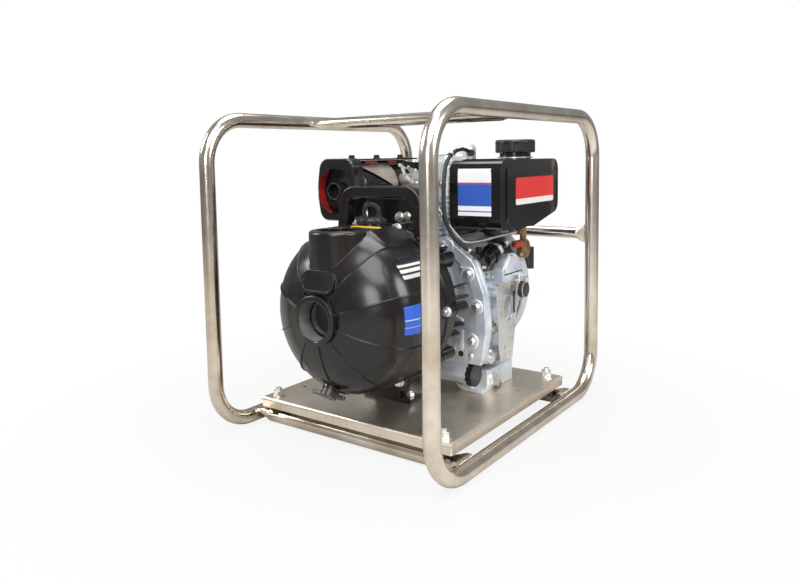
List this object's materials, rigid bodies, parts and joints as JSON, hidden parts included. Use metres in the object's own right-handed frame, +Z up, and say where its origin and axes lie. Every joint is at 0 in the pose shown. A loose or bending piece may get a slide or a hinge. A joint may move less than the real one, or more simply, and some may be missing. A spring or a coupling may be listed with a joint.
{
  "type": "diesel chemical transfer pump",
  "caption": "Self-priming transfer pump flanged to an air-cooled recoil-start diesel engine, on a rubber-mounted plate in a stainless tube carrying frame.",
  "frame": {"origin": "on the ground, midway between the two tube loops and midway along them", "axes": "+Y along the shaft from the suction port to the recoil starter, +Z up, +X towards the fuel tank's side"},
  "size_m": [0.4614, 0.6064, 0.5496],
  "materials": {
    "stainless": "satin brushed stainless tube",
    "plate": "satin stainless sheet",
    "black_iron": "near-black glossy paint over cast iron",
    "black_paint": "black gloss paint",
    "rubber": "matt black rubber",
    "bright": "zinc plated",
    "cast_alu": "blue-grey cast aluminium",
    "light_alu": "light cast aluminium",
    "steel": "machined steel",
    "black_plastic": "matt black plastic",
    "hot_steel": "heat-browned steel sheet",
    "amber": "brown filter bowl",
    "red": "red plastic",
    "rope": "braided cord"
  },
  "bodies": {
    "frame": {"loop_left": "stainless", "loop_right": "stainless", "top_crossbar": "stainless", "rear_crossbar": "stainless", "front_base_bar": "stainless", "rear_base_bar": "stainless", "base_plate": "plate", "rubber_mounts": "rubber", "mount_nuts": "bright", "pump_casing": "black_iron", "casing_gasket": "rubber", "pump_adapter": "black_iron", "casing_bolts": "bright", "inner_volute": "black_iron", "shaft_seal": "steel", "flap_pin": "steel", "carry_handle": "black_iron", "pump_foot": "black_paint", "foot_bolts": "bright", "crankcase": "cast_alu", "crankcase_cover": "cast_alu", "cover_bolts": "bright", "main_bearings": "steel", "cylinder_block": "cast_alu", "cylinder_head": "light_alu", "rocker_cover": "light_alu", "cylinder_shroud": "black_paint", "fan_cover": "cast_alu", "starter_cover": "black_paint", "muffler_body": "black_paint", "muffler_guard": "hot_steel", "muffler_cover": "black_paint", "muffler_top_plate": "black_paint", "tail_pipe": "hot_steel", "exhaust_elbow": "hot_steel", "air_cleaner": "black_plastic", "air_cleaner_cover": "black_plastic", "fuel_tank": "black_paint", "tank_bracket": "black_paint", "fuel_hose": "rubber", "fuel_filter": "amber", "injection_pump": "black_paint", "injection_pipe": "bright", "governor_cover": "cast_alu", "side_bracket": "stainless", "oil_plugs": "bright"},
    "crank": {"crankshaft": "steel", "flywheel": "steel", "impeller": "black_iron"},
    "suction_flap": {"suction_flap": "rubber"},
    "fill_cap": {"fill_cap": "black_plastic"},
    "drain_cap": {"drain_cap": "black_plastic"},
    "fuel_cap": {"fuel_cap": "black_plastic"},
    "oil_filler_cap": {"oil_filler_cap": "black_plastic"},
    "speed_lever": {"speed_lever": "bright"},
    "fuel_cock": {"fuel_cock_lever": "red"},
    "decompression": {"decompression_lever": "black_paint"},
    "recoil": {"recoil_handle": "black_plastic", "recoil_rope": "rope"},
    "pulley": {"starter_pulley": "steel"}
  },
  "joints": [
    {"name": "crank_spin", "type": "hinge", "parent": "frame", "child": "crank", "pos_m": [0, 0, 0.223], "axis": [0, 1, 0], "continuous": true},
    {"name": "suction_flap_swing", "type": "hinge", "parent": "frame", "child": "suction_flap", "pos_m": [0, -0.24, 0.264], "axis": [1, 0, 0], "range_deg": [0, 60]},
    {"name": "fill_cap_turn", "type": "hinge", "parent": "frame", "child": "fill_cap", "pos_m": [0, -0.13, 0.36], "axis": [0, 0, 1], "continuous": true},
    {"name": "drain_cap_turn", "type": "hinge", "parent": "frame", "child": "drain_cap", "pos_m": [-0.012, -0.215, 0.118], "axis": [0, -0.6428, -0.766], "continuous": true},
    {"name": "fuel_cap_turn", "type": "hinge", "parent": "frame", "child": "fuel_cap", "pos_m": [0.13, 0.137, 0.47], "axis": [0, 0, 1], "continuous": true},
    {"name": "oil_filler_cap_turn", "type": "hinge", "parent": "frame", "child": "oil_filler_cap", "pos_m": [0.11, 0.012, 0.084], "axis": [1, 0, 0], "continuous": true},
    {"name": "speed_lever_turn", "type": "hinge", "parent": "frame", "child": "speed_lever", "pos_m": [0.155, 0.108, 0.253], "axis": [1, 0, 0], "range_deg": [0, 35]},
    {"name": "fuel_cock_turn", "type": "hinge", "parent": "frame", "child": "fuel_cock", "pos_m": [0.148, 0.118, 0.307], "axis": [1, 0, 0], "range_deg": [-90, 0]},
    {"name": "decompression_turn", "type": "hinge", "parent": "frame", "child": "decompression", "pos_m": [-0.008, 0.03, 0.452], "axis": [0, 1, 0], "range_deg": [0, 80]},
    {"name": "recoil_pull", "type": "slide", "parent": "frame", "child": "recoil", "axis": [1, 0, 0], "range_m": [0, 0.15], "stiffness_N_per_m": 20, "springref_m": -0.1},
    {"name": "pulley_turn", "type": "hinge", "parent": "frame", "child": "pulley", "pos_m": [0, 0.213, 0.223], "axis": [0, 1, 0], "range_deg": [0, 186]}
  ],
  "couplings": [
    {"joint": "recoil_pull", "follows": "pulley_turn", "m_per_rad": 0.046}
  ]
}
